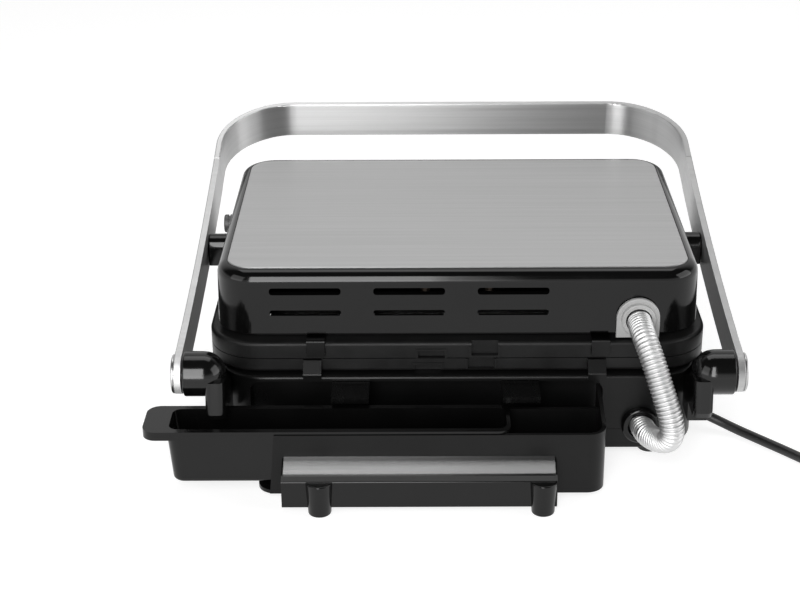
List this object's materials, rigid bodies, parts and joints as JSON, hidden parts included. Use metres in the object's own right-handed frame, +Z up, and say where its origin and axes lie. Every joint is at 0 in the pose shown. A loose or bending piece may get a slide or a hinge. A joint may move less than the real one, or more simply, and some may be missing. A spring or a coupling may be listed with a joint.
{
  "type": "contact grill",
  "caption": "Electric contact grill with a floating lid on lift arms, ribbed plates, a sliding drip tray behind it and a stand bar for upright storage.",
  "frame": {"origin": "middle of the footprint, on the table that the feet stand on, cord apart", "axes": "+Z up, +Y towards the rear with the hinge and the drip tray, +X towards the side that the tray pulls out of"},
  "size_m": [0.5504, 0.4011, 0.155],
  "materials": {
    "housing_black": "satin moulded black",
    "lid_gloss": "gloss black",
    "brushed_steel": "brushed",
    "plate_coating": "cast, dark non-stick coating",
    "pin_steel": "turned, plated",
    "screw_steel": "zinc plated",
    "reflector_sheet": "bright rolled sheet",
    "element_steel": "heat-tinted sheath",
    "button_grey": "satin dark grey",
    "lens_amber": "clear amber",
    "gland_grey": "light grey moulded",
    "conduit_metal": "corrugated, bright",
    "rubber_black": "soft black",
    "pin_plated": "nickel plated"
  },
  "bodies": {
    "base": {"bottom_cover": "housing_black", "base_housing": "housing_black", "rubber_feet": "rubber_black", "base_screws": "screw_steel", "lower_reflector": "reflector_sheet", "lower_element": "element_steel", "lower_plate": "plate_coating", "lower_plate_clips": "brushed_steel", "drip_spouts": "brushed_steel", "tray_channel": "housing_black", "stand_bar": "housing_black", "stand_strip": "brushed_steel", "thermostat": "housing_black", "thermal_fuse": "element_steel", "terminal_block": "housing_black", "indicator_lenses": "lens_amber", "hinge_bracket_left": "lid_gloss", "hinge_bracket_right": "lid_gloss", "bracket_screws": "screw_steel", "base_gland": "lid_gloss", "conduit": "conduit_metal", "cord_gland": "rubber_black", "mains_cord": "rubber_black", "cord_coil": "rubber_black", "cord_tail": "rubber_black", "plug_body": "rubber_black", "plug_pins": "pin_plated", "cord_tie": "rubber_black"},
    "arms": {"arm_left": "brushed_steel", "arm_right": "brushed_steel", "handle": "brushed_steel", "handle_dowels": "pin_steel", "hinge_pins": "pin_steel", "hinge_caps": "brushed_steel", "pivot_pins": "pin_steel", "pivot_caps": "pin_steel"},
    "lid": {"pivot_bosses": "lid_gloss", "lid_frame": "lid_gloss", "upper_reflector": "reflector_sheet", "upper_element": "element_steel", "upper_limiter": "element_steel", "upper_plate": "plate_coating", "upper_plate_clips": "brushed_steel", "lid_shell": "lid_gloss", "lid_panel": "brushed_steel", "lid_screws": "screw_steel", "lid_gland": "gland_grey"},
    "tray": {"drip_tray": "housing_black"},
    "knob": {"temperature_knob": "housing_black"},
    "lower_button": {"lower_release_button": "button_grey"},
    "upper_button": {"upper_release_button": "button_grey"},
    "lock": {"lid_lock_knob": "button_grey"}
  },
  "joints": [
    {"name": "arm_hinge", "type": "hinge", "parent": "base", "child": "arms", "pos_m": [-0.00915, 0.14241, 0.0765], "axis": [-1, 0, 0], "range_deg": [0, 100], "deforming": ["conduit"]},
    {"name": "lid_pivot", "type": "hinge", "parent": "arms", "child": "lid", "pos_m": [-0.00915, -0.02159, 0.1], "axis": [-1, 0, 0], "range_deg": [-3, 0]},
    {"name": "tray_slide", "type": "slide", "parent": "base", "child": "tray", "axis": [1, 0, 0], "range_m": [-0.058, 0.14]},
    {"name": "temperature_turn", "type": "hinge", "parent": "base", "child": "knob", "pos_m": [0.05285, -0.12559, 0.043], "axis": [0, 1, 0], "range_deg": [0, 270]},
    {"name": "lower_release", "type": "slide", "parent": "base", "child": "lower_button", "axis": [0, 1, 0], "range_m": [0, 0.003], "stiffness_N_per_m": 800},
    {"name": "upper_release", "type": "slide", "parent": "lid", "child": "upper_button", "axis": [0, 1, 0], "range_m": [0, 0.003], "stiffness_N_per_m": 800},
    {"name": "lid_lock", "type": "slide", "parent": "lid", "child": "lock", "axis": [0, 1, 0], "range_m": [0, 0.007]}
  ],
  "couplings": [
    {"joint": "lid_pivot", "follows": "arm_hinge", "ratio": -0.03}
  ]
}
